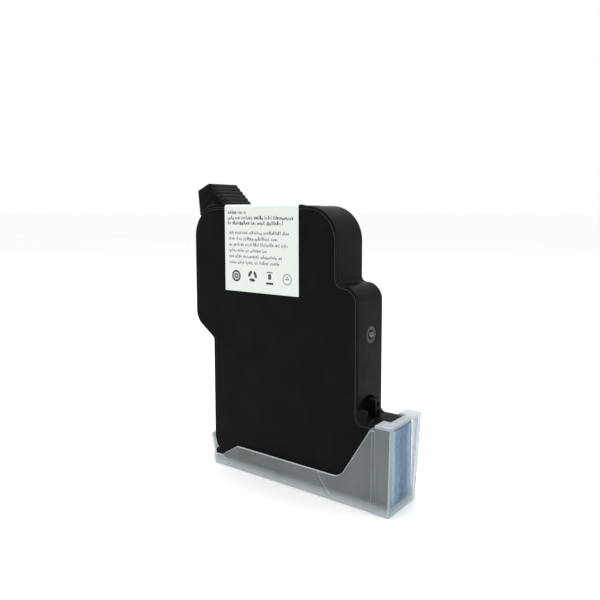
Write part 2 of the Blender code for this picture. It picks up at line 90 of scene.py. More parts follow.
# Grip tab
TAB_LEFT = -10.9
TAB_RIDGE = (-2.4, 154.7)
TAB_RIGHT = 9.4
TAB_TEETH = 6
TAB_DEPTH = 0.75
TAB_ROUND = 5.6
SIDE_TEETH = 9
SIDE_DEPTH = 0.3
# One tooth: (share of its length, share of its depth)
TOOTH = ((0.0, 0.0), (0.1, 0.0), (0.4, 0.3), (0.72, 0.9), (0.84, 1.0), (0.94, 0.4))

# Label, and its print, which is sunk a little into the paper and stands a hair proud of it
LABEL_X = (9.8, 59.7)
LABEL_BOTTOM = 97.1
LABEL_THICK = 0.16
LABEL_BACK = -HALF - 0.1
LABEL_FACE = LABEL_BACK - LABEL_THICK
PRINT_PROUD = 0.02
PRINT_SUNK = 0.01
SIGNS_Z = 105.3

# Nozzle cap
CAP_BOTTOM = -1.5
CAP_TOP = 42.2
CAP_LEFT_FOOT = -0.8
CAP_LEFT_LEAN = 0.25
CAP_RIGHT_FOOT = 113.0
CAP_HALF_FOOT = 12.7
CAP_STEP = 0.6
CAP_DRAFT = 0.044
CAP_WALL = 1.1
CAP_UPRIGHT_TOP = 13.9
CAP_UPRIGHT_HALF = 10.0
CAP_SLEEVE_LEFT = 103.0
CAP_HOOK_LEFT = 105.8
CAP_HOOK_INNER = 7.3
CAP_HOOK_UNDER = 40.7
CAP_EDGE = 0.22
INNER_RIB_X = (107.4, 109.9)
INNER_RIB_ZONE = (106.6, 111.0)
# Corners of the cap that stay sharp: x, |y|, z
HOOK_CORNER = ((103.4, 106.6), (12.6, 16.0), (36.0, 44.0))
UPRIGHT_CORNER = ((-1.6, 0.6), (-1.0, 14.0), (1.4, 4.8))

# How much of a rim or edge the cap's finish shows, 0 to 1, and how much of its painted highlight it
# takes
RIM_SHOWN = 0.9
ROUNDING_SHOWN = 0.4

# Where the zones of the clear finish start and end: millimetres in the row frame, or |normal x|
END_FACING = (0.4, 0.7)
FRONT_MARGIN_Y = (-10.8, -12.8)
BACK_MARGIN_Y = (8.6, 10.8)
BRIM_Z = (41.9, 42.5)
LOW_Z = (6.5, 2.0)
WINDOW_ALPHA = -0.09
TAPE_BAND_Y = (-8.2, 10.6)

shell_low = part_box("outer_frame")[0]
TO_ROW = Matrix.Scale(MM, 4) @ Matrix.Translation(
    (shell_low.x / MM - HEAD_LEFT, 0, shell_low.z / MM - BODY_BOTTOM)
)

# Outlines seen from the front, clockwise: (x, z, corner radius)
LEFT_SIDE = [
    (0, BODY_BOTTOM, 15.0),
    (0, NECK, 3.0),
    (HEAD_LEFT, HEAD_UNDER, 10.0),
    (HEAD_LEFT, BODY_TOP, 16.5),
]
RIGHT_SIDE = [
    (HEAD_RIGHT, BODY_TOP, 17.5),
    (HEAD_RIGHT, SHOULDER, 3.0),
    (BODY_RIGHT, SHOULDER, 8.5),
]
BODY = LEFT_SIDE + RIGHT_SIDE + [
    (BODY_RIGHT, NOSE_TOP, 2.5),
    (NOSE_RIGHT, NOSE_TOP, 0.8),
    (NOSE_RIGHT, BODY_BOTTOM, 1.5),
]
COVERED = LEFT_SIDE + RIGHT_SIDE + [
    (BODY_RIGHT, NOSE_TOP, 2.5),
    (COVER_RIGHT, NOSE_TOP, 1.6),
    (COVER_RIGHT, BODY_BOTTOM, 1.6),
]
CHAMBER = LEFT_SIDE + RIGHT_SIDE + [(BODY_RIGHT, BODY_BOTTOM, 6.0)]


# ---------------------------------------------------------------- outlines

def inset(corners, distance):
    """The corners moved inwards by this distance, with each radius kept concentric."""
    moved = []
    count = len(corners)
    for at in range(count):
        before, here, after = (Vector(corners[(at + k) % count][:2]) for k in (-1, 0, 1))
        arrive = (here - before).normalized()
        leave = (after - here).normalized()
        inward_in = Vector((arrive.y, -arrive.x))
        inward_out = Vector((leave.y, -leave.x))
        shift = (inward_in + inward_out) / (1 + inward_in.dot(inward_out)) * distance
        convex = arrive.cross(leave) < 0
        radius = corners[at][2] + (-distance if convex else distance)
        moved.append((*(here + shift), max(radius, 0.15)))
    return moved


def rounded(corners, step_degrees=6.0):
    """The outline's points, with an arc of short chords at each corner."""
    points = []
    count = len(corners)
    for at in range(count):
        before, here, after = (Vector(corners[(at + k) % count][:2]) for k in (-1, 0, 1))
        arrive = (here - before).normalized()
        leave = (after - here).normalized()
        turn = arrive.angle_signed(leave)
        radius = corners[at][2]
        start = here - arrive * radius * math.tan(abs(turn) / 2)
        side = Vector((arrive.y, -arrive.x)) * math.copysign(1.0, turn)
        centre = start + side * radius
        chords = max(2, math.ceil(math.degrees(abs(turn)) / step_degrees))
        for chord in range(chords + 1):
            points.append(centre + Matrix.Rotation(-turn * chord / chords, 2) @ (start - centre))
    return points


def quarter(steps):
    """Angles from 0 to 90 degrees, in radians."""
    return [math.pi / 2 * step / steps for step in range(steps + 1)]


def soft_profile(low, high, radius, steps=4, margin=0.4):
    """(inset, y) pairs from low to high, with both edges rounded and a flat margin at each end."""
    arc = [(radius * (1 - math.sin(a)), radius * (1 - math.cos(a))) for a in quarter(steps)]
    arc.insert(0, (radius + margin, 0.0))
    return [(d, low + rise) for d, rise in arc] + [(d, high - rise) for d, rise in arc[::-1]]


# ---------------------------------------------------------------- mesh tools

def draft(name, shape):
    """An object, still in millimetres, for this bmesh."""
    bmesh.ops.recalc_face_normals(shape, faces=shape.faces)
    mesh = bpy.data.meshes.new(name)
    shape.to_mesh(mesh)
    shape.free()
    made = bpy.data.objects.new(name, mesh)
    bpy.context.scene.collection.objects.link(made)
    return made


def loft(name, rings):
    """A closed solid through rings of points, all with the same count."""
    shape = bmesh.new()
    loops = [[shape.verts.new(point) for point in ring] for ring in rings]
    for near, far in zip(loops, loops[1:]):
        for at in range(len(near)):
            after = (at + 1) % len(near)
            shape.faces.new((near[at], near[after], far[after], far[at]))
    shape.faces.new(loops[0])
    shape.faces.new(loops[-1])
    return draft(name, shape)


def plate(name, corners, profile):
    """A rounded outline in X and Z, swept along Y: profile holds (inset, y) pairs."""
    rings = []
    for distance, y in profile:
        rings.append([(point.x, y, point.y) for point in rounded(inset(corners, distance))])
    return loft(name, rings)


def sheet(name, shape, inner, outer):
    """A thin closed sheet between two grids of this bmesh's vertices, held as lists of rows."""
    across = range(len(inner[0]) - 1)
    up = range(len(inner) - 1)
    for rows in (inner, outer):
        for at in up:
            for step in across:
                shape.faces.new(
                    (rows[at][step], rows[at][step + 1], rows[at + 1][step + 1], rows[at + 1][step])
                )
    for end in (0, -1):
        near, far = inner[end], outer[end]
        for step in across:
            shape.faces.new((near[step], near[step + 1], far[step + 1], far[step]))
        for at in up:
            shape.faces.new((inner[at][end], inner[at + 1][end], outer[at + 1][end], outer[at][end]))
    return draft(name, shape)


def mark_edge_highlight(made, profile, band):
    """Stores which points of a plate lie on a band of its rounding, for the finish to lighten as a
    painted highlight.
    """
    each = len(made.data.vertices) // len(profile)
    values = []
    for distance, _ in profile:
        values += [1.0 if band[0] < distance < band[1] else 0.0] * each
    made.data.attributes.new("edge", "FLOAT", "POINT").data.foreach_set("value", values)


def mark_rims(made, wall_y):
    """Stores on each face of the cap how much of a rim or rounded edge it is: the finish makes such
    faces more opaque and gives them a painted highlight. Its inner ribs aren't.
    """
    values = []
    for face in made.data.polygons:
        tilt = sorted(abs(axis) for axis in face.normal)
        on_rim = abs(face.normal.y) < 0.5 and face.normal.z > 0.1 and abs(face.center.y) > wall_y
        if on_rim:
            values.append(RIM_SHOWN)
        elif tilt[2] < 0.985:
            inside = wall_half(face.center.z) + CAP_STEP - CAP_WALL + 0.05
            in_zone = INNER_RIB_ZONE[0] < face.center.x < INNER_RIB_ZONE[1]
            on_rib = in_zone and abs(face.center.y) < inside
            values.append(0.0 if on_rib else ROUNDING_SHOWN)
        else:
            values.append(0.0)
    made.data.attributes.new("edge", "FLOAT", "FACE").data.foreach_set("value", values)


def block(name, x, y, z, radius=0.0, segments=3):
    """A box between two values of x, of y and of z, with rounded edges."""
    low = Vector((x[0], y[0], z[0]))
    high = Vector((x[1], y[1], z[1]))
    shape = bmesh.new()
    bmesh.ops.create_cube(shape, size=1.0)
    stretch = Matrix.Diagonal((*(high - low), 1.0))
    placed = Matrix.Translation((low + high) / 2) @ stretch
    bmesh.ops.transform(shape, matrix=placed, verts=shape.verts)
    if radius:
        bmesh.ops.bevel(
            shape, geom=shape.edges[:], offset=radius, segments=segments, affect="EDGES", profile=0.5
        )
    return draft(name, shape)


def turned(name, profile, centre_y, centre_z, sides=72):
    """A solid turned about a line along X: profile holds (x, radius) pairs from end to end."""
    rings = []
    for x, radius in profile:
        ring = []
        for side in range(sides):
            angle = 2 * math.pi * side / sides
            y = centre_y + radius * math.cos(angle)
            ring.append((x, y, centre_z + radius * math.sin(angle)))
        rings.append(ring)
    return loft(name, rings)


def bake(made):
    """Applies the object's modifiers."""
    graph = bpy.context.evaluated_depsgraph_get()
    mesh = bpy.data.meshes.new_from_object(made.evaluated_get(graph))
    made.modifiers.clear()
    made.data = mesh
    return made


def combine(target, others, operation):
    """One exact Boolean after another, each applied. The others are used up."""
    for other in others:
        step = target.modifiers.new("combine", "BOOLEAN")
        step.operation = operation
        step.solver = "EXACT"
        step.object = other
        bake(target)
        bpy.data.objects.remove(other)
    return target


def cut(target, *others):
    return combine(target, others, "DIFFERENCE")


def join(target, *others):
    return combine(target, others, "UNION")


def bevel(made, width, spared, segments=2, angle=30):
    """Rounds each edge that turns by more than the angle, unless an end lies in a spared box.

    Each spared box is a range of x, of |y| and of z, where parting lines crowd together.
    """
    shape = bmesh.new()
    shape.from_mesh(made.data)
    weight = shape.edges.layers.float.new("bevel_weight_edge")
    for edge in shape.edges:
        ends = [(end.co.x, abs(end.co.y), end.co.z) for end in edge.verts]
        held = any(
            all(low < value < high for value, (low, high) in zip(end, box))
            for end in ends for box in spared
        )
        if not held and edge.calc_face_angle(0.0) > math.radians(angle):
            edge[weight] = 1.0
    shape.to_mesh(made.data)
    shape.free()
    step = made.modifiers.new("round", "BEVEL")
    step.width = width
    step.segments = segments
    step.limit_method = "WEIGHT"
    step.use_clamp_overlap = False
    step.miter_outer = "MITER_ARC"
    return bake(made)


def finish_piece(made, body, finish, slot, *replaced, sharp=38):
    made.data.transform(TO_ROW)
    made.data.materials.clear()
    made.data.materials.append(finish)
    made.data.polygons.foreach_set("material_index", [0] * len(made.data.polygons))
    made.data.shade_smooth()
    made.data.set_sharp_from_angle(angle=math.radians(sharp))
    weighted = made.modifiers.new("weighted_normals", "WEIGHTED_NORMAL")
    weighted.keep_sharp = True
    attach(made, body)
    if replaced:
        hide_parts(*replaced)
    return made


# ---------------------------------------------------------------- materials

class Finish:
    """A node material under construction, with short ways to add and link nodes."""

    def __init__(self, name):
        self.made = bpy.data.materials.new(name)
        self.made.use_nodes = True
        self.tree = self.made.node_tree
        self.shader = self.tree.nodes["Principled BSDF"]
        self.place = self.tree.nodes.new("ShaderNodeTexCoord").outputs["Object"]

    def node(self, kind, **settings):
        """A new node, with its settings given as attributes or as inputs."""
        made = self.tree.nodes.new(kind)
        for key, value in settings.items():
            if hasattr(made, key):
                setattr(made, key, value)
            else:
                made.inputs[key.replace("_", " ")].default_value = value
        return made

    def link(self, source, target):
        self.tree.links.new(source, target)

    def set(self, **values):
        """Sets fixed values on the shader's own sockets."""
        for key, value in values.items():
            self.shader.inputs[key.replace("_", " ")].default_value = value

    def noise(self, size_mm, detail=2.0, stretch=(1, 1, 1)):
        """Noise whose features are about this many millimetres across, in 0 to 1."""
        moved = self.node("ShaderNodeMapping")
        moved.inputs["Scale"].default_value = stretch
        self.link(self.place, moved.inputs["Vector"])
        made = self.node("ShaderNodeTexNoise", Scale=1000.0 / size_mm, Detail=detail)
        self.link(moved.outputs["Vector"], made.inputs["Vector"])
        return made.outputs["Fac"]

    def ramp(self, factor, stops):
        """A colour for the factor: stops holds (position, colour) pairs."""
        made = self.node("ShaderNodeValToRGB")
        ramp = made.color_ramp
        while len(ramp.elements) < len(stops):
            ramp.elements.new(0.5)
        for element, (position, colour) in zip(ramp.elements, stops):
            element.position = position
            element.color = (*colour, 1.0)
        self.link(factor, made.inputs["Fac"])
        return made.outputs["Color"]

    def range(self, factor, low, high):
        """A noise, most of which lies in 0.3 to 0.7, spread from low to high."""
        made = self.node("ShaderNodeMapRange", clamp=True)
        made.inputs["To Min"].default_value = low
        made.inputs["To Max"].default_value = high
        made.inputs["From Min"].default_value = 0.3
        made.inputs["From Max"].default_value = 0.7
        self.link(factor, made.inputs["Value"])
        return made.outputs["Result"]

    def step(self, value, zone, high=1.0, unit=MM):
        """0 before the zone, high beyond it, easing in between. The zone is in the unit given."""
        made = self.node("ShaderNodeMapRange", interpolation_type="SMOOTHSTEP", clamp=True)
        made.inputs["From Min"].default_value = zone[0] * unit
        made.inputs["From Max"].default_value = zone[1] * unit
        made.inputs["To Max"].default_value = high
        self.link(value, made.inputs["Value"])
        return made.outputs["Result"]

    def math(self, operation, first, second=None, clamp=False):
        """One operation on one or two linked values."""
        made = self.node("ShaderNodeMath", operation=operation, use_clamp=clamp)
        self.link(first, made.inputs[0])
        if second is not None:
            self.link(second, made.inputs[1])
        return made.outputs["Value"]

    def split(self, vector):
        """The X, Y and Z of a vector."""
        made = self.node("ShaderNodeSeparateXYZ")
        self.link(vector, made.inputs["Vector"])
        return made.outputs

    def mix(self, factor, first, second):
        """Two colours mixed by the factor; either may be a fixed colour."""
        made = self.node("ShaderNodeMix", data_type="RGBA")
        self.link(factor, made.inputs["Factor"])
        for source, socket in ((first, made.inputs[6]), (second, made.inputs[7])):
            if isinstance(source, tuple):
                socket.default_value = (*source, 1.0)
            else:
                self.link(source, socket)
        return made.outputs[2]

    def painted_edge_highlights(self):
        """Near 1 on convex edges and on points stored as an edge, and 0 elsewhere: the mask of a painted
        highlight.
        """
        geometry = self.node("ShaderNodeNewGeometry")
        convex = self.ramp(geometry.outputs["Pointiness"], [(0.52, (0, 0, 0)), (0.62, (1, 1, 1))])
        stored = self.node("ShaderNodeAttribute", attribute_name="edge")
        return self.math("MAXIMUM", convex, stored.outputs["Fac"])

    def bump(self, height, depth_mm, strength=1.0, under=None):
        """Relief from this height, over the bump under it where one is given."""
        made = self.node("ShaderNodeBump", Strength=strength, Distance=depth_mm * MM)
        self.link(height, made.inputs["Height"])
        if under is not None:
            self.link(under, made.inputs["Normal"])
        self.link(made.outputs["Normal"], self.shader.inputs["Normal"])
        return made.outputs["Normal"]

    def colour(self, source):
        self.link(source, self.shader.inputs["Base Color"])

    def rough(self, source):
        self.link(source, self.shader.inputs["Roughness"])


def moulded(name, dark, light, edge, rough, grain_mm=0.35, grain_depth=0.012, specular=0.3):
    """Moulded plastic: faint cloudiness, a painted highlight on its edges, and the fine grain of the
    mould.
    """
    made = Finish(name)
    cloud = made.noise(14.0, 3.0)
    body = made.ramp(cloud, [(0.3, dark), (0.7, light)])
    # Convex and stored edges take the edge colour, a painted highlight.
    made.colour(made.mix(made.painted_edge_highlights(), body, edge))
    made.rough(made.range(made.noise(3.5, 4.0), *rough))
    wave = made.bump(made.noise(22.0, 1.0), 0.05, 0.6)
    made.bump(made.noise(grain_mm, 2.0), grain_depth, 1.0, wave)
    made.set(Specular_IOR_Level=specular)
    return made.made


def metal(name, dark, light, rough, stretch=(1, 1, 14), grain_mm=1.2):
    """Rolled or plated metal, with a streaked grain."""
    made = Finish(name)
    streak = made.noise(grain_mm, 4.0, stretch)
    made.colour(made.ramp(streak, [(0.3, dark), (0.7, light)]))
    made.rough(made.range(streak, *rough))
    made.bump(streak, 0.004)
    made.set(Metallic=1.0)
    return made.made


def satin(name, dark, light, rough, size_mm=2.0, depth_mm=0.01, **extra):
    """A plain even surface with a little colour variation and relief."""
    made = Finish(name)
    cloud = made.noise(size_mm, 4.0)
    made.colour(made.ramp(cloud, [(0.3, dark), (0.7, light)]))
    made.rough(made.range(cloud, *rough))
    made.bump(cloud, depth_mm)
    made.set(**extra)
    return made.made


def paper_finish():
    """Coated label stock: a faint fibre grain under a thin satin coat."""
    made = Finish("label_stock")
    fibre = made.noise(0.9, 5.0, (1, 1, 3))
    cloud = made.noise(9.0, 2.0)
    tone = made.ramp(fibre, [(0.3, (0.62, 0.66, 0.615)), (0.7, (0.68, 0.72, 0.675))])
    made.colour(made.mix(cloud, tone, (0.65, 0.69, 0.65)))
    made.rough(made.range(fibre, 0.42, 0.55))
    made.bump(fibre, 0.008)
    return made.made


def clear_finish(name, dark, light, thin, thick, rim, rough, foot=0.0, margin=0.0, end=None):
    """Milky translucent plastic: it shows what is behind it, less so towards its rims and edges.

    thin and thick are how much of it shows seen squarely and along the wall. rim is the colour of
    the faces stored as rims, a painted highlight, which the top brim and the foot take in part too.
    foot and margin are how much more of it shows just above the floor, and where an end wall runs
    into the long walls and the top. end is the colour of the end walls: painted shade.
    """
    made = Finish(name)
    place = made.split(made.place)
    normal = made.split(made.node("ShaderNodeNewGeometry").outputs["Normal"])
    facing_x = made.math("ABSOLUTE", normal["X"])
    end_wall = made.step(facing_x, END_FACING, unit=1.0)
    window = made.step(facing_x, END_FACING, WINDOW_ALPHA, unit=1.0)
    front_side = made.step(place["Y"], FRONT_MARGIN_Y, margin)
    back_side = made.step(place["Y"], BACK_MARGIN_Y, margin)
    brim = made.step(place["Z"], BRIM_Z, margin)
    low = made.step(place["Z"], LOW_Z, foot)
    # The stored rims and roundings, the top brim and the foot are bright: they show more and take the
    # rim colour, a painted highlight.
    bright = made.node("ShaderNodeAttribute", attribute_name="edge").outputs["Fac"]
    for zone in (brim, low):
        bright = made.math("MAXIMUM", bright, zone)
    margins = made.math("MULTIPLY", end_wall, made.math("MAXIMUM", front_side, back_side))
    solid = made.math("MAXIMUM", bright, margins)

    cloud = made.noise(13.0, 3.0)
    milk = made.ramp(cloud, [(0.3, dark), (0.7, light)])
    # The end walls, picked by which way they face, take the end colour: painted shade.
    if end:
        milk = made.mix(end_wall, milk, end)
    made.colour(made.mix(bright, milk, rim))
    made.rough(made.range(made.noise(5.0, 3.0), *rough))
    made.bump(made.noise(16.0, 2.0), 0.12, 0.7)

    facing = made.node("ShaderNodeLayerWeight", Blend=0.06)
    shown = made.node("ShaderNodeMapRange", clamp=True)
    shown.inputs["To Min"].default_value = thin
    shown.inputs["To Max"].default_value = thick
    made.link(facing.outputs["Facing"], shown.inputs["Value"])
    shown = shown.outputs["Result"]
    smudge = made.range(made.noise(9.0, 2.0, (1, 1, 0.4)), -0.04, 0.04)
    for more in (smudge, window, solid):
        shown = made.math("ADD", shown, more, clamp=True)
    made.link(shown, made.shader.inputs["Alpha"])
    made.set(Specular_IOR_Level=0.15)
    return made.made


def tape_finish():
    """Pale protective film with a darker blue band over the nozzles, its sides a little uneven."""
    made = Finish("tape_blue")
    sway = made.range(made.noise(9.0, 2.0, (1, 0.2, 1)), -0.7 * MM, 0.7 * MM)
    across = made.math("ADD", made.split(made.place)["Y"], sway)
    share = made.node("ShaderNodeMapRange", clamp=True)
    share.inputs["From Min"].default_value = TAPE_BAND_Y[0] * MM
    share.inputs["From Max"].default_value = TAPE_BAND_Y[1] * MM
    made.link(across, share.inputs["Value"])
    pale = (0.34, 0.46, 0.58)
    haze = (0.06, 0.16, 0.33)
    band = (0.0, 0.07, 0.22)
    core = (0.0, 0.03, 0.11)
    stops = [
        (0.08, pale), (0.2, haze), (0.36, haze), (0.42, band), (0.5, core),
        (0.62, band), (0.72, band), (0.78, haze), (0.9, pale),
    ]
    made.colour(made.ramp(share.outputs["Result"], stops))
    made.rough(made.range(made.noise(3.0), 0.2, 0.32))
    made.bump(made.noise(4.0, 1.0), 0.04)
    made.set(Specular_IOR_Level=0.2)
    return made.made


# The edge colour of each moulded finish is a painted highlight.
SHELL_BLACK = moulded(
    "shell_black", dark=(0.003, 0.0034, 0.004), light=(0.0062, 0.007, 0.0082),
    edge=(0.017, 0.018, 0.02), rough=(0.34, 0.46), specular=0.035,
)
COVER_BLACK = moulded(
    "cover_black", dark=(0.0036, 0.004, 0.0038), light=(0.0056, 0.006, 0.006),
    edge=(0.045, 0.047, 0.045), rough=(0.42, 0.54), grain_mm=0.45, grain_depth=0.02, specular=0.03,
)
TAB_BLACK = moulded(
    "tab_black", dark=(0.0024, 0.0026, 0.0027), light=(0.004, 0.0044, 0.0046),
    edge=(0.03, 0.032, 0.034), rough=(0.32, 0.42), specular=0.03,
)
PLUG_GREY = moulded(
    "plug_grey", dark=(0.03, 0.031, 0.033), light=(0.045, 0.046, 0.049),
    edge=(0.06, 0.06, 0.062), rough=(0.4, 0.5), grain_depth=0.02, specular=0.15,
)
PAPER = paper_finish()
INK = satin("print_dark", (0.018, 0.021, 0.02), (0.035, 0.04, 0.038), (0.4, 0.55), 0.6, 0.004)
PALE_INK = satin("print_pale", (0.11, 0.12, 0.115), (0.17, 0.18, 0.175), (0.4, 0.55), 0.6, 0.004)
# rim is a painted highlight, and end is painted shade on the cap's end walls.
CAP_CLEAR = clear_finish(
    "cap_clear", dark=(0.335, 0.375, 0.39), light=(0.385, 0.42, 0.43), thin=0.205, thick=1.0,
    rim=(0.62, 0.68, 0.71), rough=(0.2, 0.34), foot=0.34, margin=0.36, end=(0.25, 0.355, 0.41),
)
TAPE = tape_finish()
FILM = clear_finish(
    "bag_film_clear", dark=(0.60, 0.62, 0.64), light=(0.72, 0.74, 0.76), thin=0.3, thick=0.9,
    rim=(0.8, 0.8, 0.8), rough=(0.15, 0.3),
)
NATURAL = satin("natural_plastic", (0.55, 0.55, 0.50), (0.66, 0.66, 0.61), (0.4, 0.55), 4.0, 0.02)
CERAMIC = satin("head_ceramic", (0.50, 0.48, 0.44), (0.60, 0.58, 0.54), (0.55, 0.7), 0.4, 0.01)
SILICON = satin("die_silicon", (0.09, 0.10, 0.13), (0.13, 0.14, 0.18), (0.12, 0.2), 1.0, 0.002)
POLYIMIDE = satin("flex_polyimide", (0.11, 0.055, 0.02), (0.17, 0.09, 0.035), (0.25, 0.38), 2.5, 0.01)
SEALANT = satin("sealant_black", (0.015, 0.015, 0.016), (0.03, 0.03, 0.031), (0.2, 0.35), 0.8, 0.03)
STEEL = metal("rolled_steel", (0.48, 0.48, 0.47), (0.66, 0.66, 0.65), (0.24, 0.38))
BALL_STEEL = metal(
    "ball_steel", (0.09, 0.09, 0.095), (0.15, 0.15, 0.155), (0.14, 0.22), (1, 1, 1), 0.5
)
GOLD = metal("pad_gold", (0.72, 0.50, 0.18), (0.88, 0.66, 0.30), (0.2, 0.32), (3, 1, 1), 0.6)
ORIFICE = metal("orifice_gold", (0.62, 0.47, 0.22), (0.80, 0.64, 0.34), (0.25, 0.4), (1, 6, 1), 0.5)


# ---------------------------------------------------------------- body

def seat_cutter(name, side, flare=0.3):
    """The room that a cover sits in, flared where it meets the rim. side is -1 for the front."""
    profile = [(RIM - flare, HALF + 1.0)]
    profile += [
        (RIM - flare + flare * math.sin(a), HALF - flare + flare * math.cos(a)) for a in quarter(3)
    ]
    profile += [(RIM, HALF - COVER_THICK - GAP)]
    return plate(name, COVERED, [(d, side * y) for d, y in profile])


def lug():
    """The rounded block above the nose, with two small countersunk holes."""
    made = block("lug", (BODY_RIGHT - 2.0, LUG_RIGHT), LUG_Y, (NOSE_TOP - 1.5, LUG_TOP), 0.55)
    middle = sum(LUG_Y) / 2
    holes = []
    profile = [
        (LUG_RIGHT - 2.6, 1.1), (LUG_RIGHT - 0.25, 1.1), (LUG_RIGHT + 0.05, 1.4), (LUG_RIGHT + 1, 1.4),
    ]
    for number, height in enumerate(LUG_HOLES):
        holes.append(turned(f"lug_hole_{number}", profile, middle, height, 40))
    return cut(made, *holes)


def pocket():
    """The arched recess round the lug."""
    profile = [
        (BODY_RIGHT - 1.5, 11.7), (BODY_RIGHT - 0.4, 12.1),
        (BODY_RIGHT + 0.1, 12.5), (BODY_RIGHT + 3, 12.5),
    ]
    arch = turned("pocket_arch", profile, -2.5, 38.6, 96)
    room = block("pocket_room", (80, 110), (GUSSET_THICK - HALF, 8.6), (NOSE_TOP + 0.2, 60))
    return combine(arch, [room], "INTERSECT")


def nose_ridges():
    """Fine raised lines along the top of the nose."""
    made = []
    for number in range(6):
        y = -8.2 + number * 2.9
        x = (BODY_RIGHT + 5.4, NOSE_RIGHT - 3.5)
        z = (NOSE_TOP - 0.4, NOSE_TOP + 0.16)
        made.append(block(f"ridge_{number}", x, (y, y + 0.9), z, 0.08, 2))
    return made


def latch_nubs():
    """The two small nubs at the body's left foot that the cap snaps over."""
    made = []
    for side in (-1, 1):
        y = sorted((side * 9.0, side * 11.0))
        nub = block("latch_nub", (0.4, 8.0), y, (3.6, 6.2), 0.3)
        trim = plate("nub_trim", inset(BODY, RIM / 2), [(0, -20), (0, 20)])
        made.append(cut(nub, trim))
    return made


def outer_shell():
    """The rigid outer ring with its nose, and the rooms, ports and small parts on it."""
    shell = plate("outer_shell", BODY, soft_profile(-HALF, HALF, 0.42))
    x = (BODY_RIGHT - 0.6, GUSSET_RIGHT)
    gusset_y = (0.1 - HALF, GUSSET_THICK - HALF)
    join(shell, block("gusset", x, gusset_y, (NOSE_TOP - 0.6, GUSSET_TOP), 0.25))
    cut(shell, seat_cutter("front_seat", -1), seat_cutter("back_seat", 1))
    cut(shell, plate("chamber", inset(CHAMBER, SHELL_WALL), [(0, -HALF), (0, HALF)]))
    head_y = (HEAD_MID - HEAD_HALF - GAP, HEAD_MID + HEAD_HALF + GAP)
    flex_y = (-FLEX_HALF - GAP, FLEX_HALF + GAP)
    port = [
        (BODY_RIGHT - 6, 3.2), (BODY_RIGHT - 0.9, 3.2), (BODY_RIGHT - 0.9, 4.55),
        (BODY_RIGHT - 0.15, 4.6), (BODY_RIGHT + 0.05, 4.85), (BODY_RIGHT + 1, 4.85),
    ]
    head_z = (HEAD_Z[0] - GAP, HEAD_Z[1] + GAP)
    duct_y = (HEAD_MID - 2.6, HEAD_MID + 2.6)
    cut(
        shell,
        block("head_pocket", (NOSE_RIGHT - 6.5, NOSE_RIGHT + 2), head_y, head_z),
        block("ink_passage", (BODY_RIGHT - 6, NOSE_RIGHT - 6), duct_y, (8, 32)),
        block("flex_face_seat", (NOSE_RIGHT - 0.6, NOSE_RIGHT + 2), flex_y, (-2.0, 38.8)),
        block("flex_foot_seat", (FLEX_LEFT - GAP, NOSE_RIGHT + 2), flex_y, (-2.0, BODY_BOTTOM + 0.65)),
        turned("port", port, PORT_Y, PORT_Z),
        pocket(),
    )
    join(shell, lug(), *nose_ridges(), *latch_nubs())
    return finish_piece(shell, "cartridge", SHELL_BLACK, "black_plastic", "outer_frame")


def covers():
    """Both covers, a hair below the rim, with a band of their rounding marked for a painted highlight.
    """
    outline = inset(COVERED, RIM + GAP + 0.1)
    outer = HALF - 0.05
    for name, side in (("front_cover", -1), ("back_cover", 1)):
        y = sorted((side * outer, side * (outer - COVER_THICK)))
        profile = soft_profile(y[0], y[1], 0.45)
        made = plate(name + "_skin", outline, profile)
        # The marked band takes the cover's lighter edge colour, a painted highlight.
        mark_edge_highlight(made, profile, (0.1, 0.3))
        finish_piece(made, "cartridge", COVER_BLACK, "cover_plastic", name)


def teeth_line(start, end, teeth, depth):
    """Points of a saw-toothed line from start to end: (point, how deep it lies)."""
    start, end = Vector(start), Vector(end)
    along = (end - start) / teeth
    points = []
    for tooth in range(teeth):
        for share, sunk in TOOTH:
            points.append((start + along * (tooth + share), depth * sunk))
    points.append((end, 0.0))
    return points


def grip_tab():
    """The ribbed finger tab. Its slope rounds off towards the front, most of all at its foot."""
    foot_left = (TAB_LEFT + 1.9, BODY_TOP - 8.5)
    shoulder = (TAB_LEFT, TAB_RIDGE[1] - 3.8)
    slope_end = (TAB_RIGHT, BODY_TOP + 1.1)
    foot_right = (TAB_RIGHT, BODY_TOP - 2.0)
    slope_out = Vector((slope_end[1] - TAB_RIDGE[1], TAB_RIDGE[0] - slope_end[0])).normalized() * -1
    side_out = Vector((-1.0, -0.12)).normalized()
    slope = teeth_line(TAB_RIDGE, slope_end, TAB_TEETH, TAB_DEPTH)
    side = teeth_line(foot_left, shoulder, SIDE_TEETH, SIDE_DEPTH)
    back_edge = 2 * HALF - 0.3
    stations = [0.0, 0.12, 0.4, 0.8, 1.3, 1.9, 2.6, 3.4, 4.3, 5.6, 7.0, back_edge, 2 * HALF]
    rings = []
    crest_highlights = []
    for behind in stations:
        ring = []
        # Tooth crests are stored as edges, lighter the further back they lie: a painted highlight.
        crest_highlight_share = 0.8 * min(1.0, behind / 6.0)
        crest_highlights += [0.0] * len(side) + [crest_highlight_share * (1.0 - sunk / TAB_DEPTH) for _, sunk in slope] + [0.0]
        trim = 0.15 if behind == 0.0 else max(0.0, behind - back_edge) * 0.5
        for point, sunk in side:
            ring.append(point - side_out * max(sunk, trim))
        for at, (point, sunk) in enumerate(slope):
            radius = TAB_ROUND * (at / (len(slope) - 1)) ** 0.6
            away = max(0.0, radius - behind)
            turned_away = radius - math.sqrt(max(0.0, radius * radius - away * away))
            ring.append(point - slope_out * max(sunk, turned_away, trim))
        ring.append(Vector(foot_right))
        rings.append([(point.x, behind - HALF, point.y) for point in ring])
    tab = loft("finger_tab", rings)
    tab.data.attributes.new("edge", "FLOAT", "POINT").data.foreach_set("value", crest_highlights)
    cut(tab, plate("body_room", inset(BODY, -GAP), [(0, -20), (0, 20)]))
    return finish_piece(tab, "cartridge", TAB_BLACK, "black_plastic", "grip_tab", sharp=28)


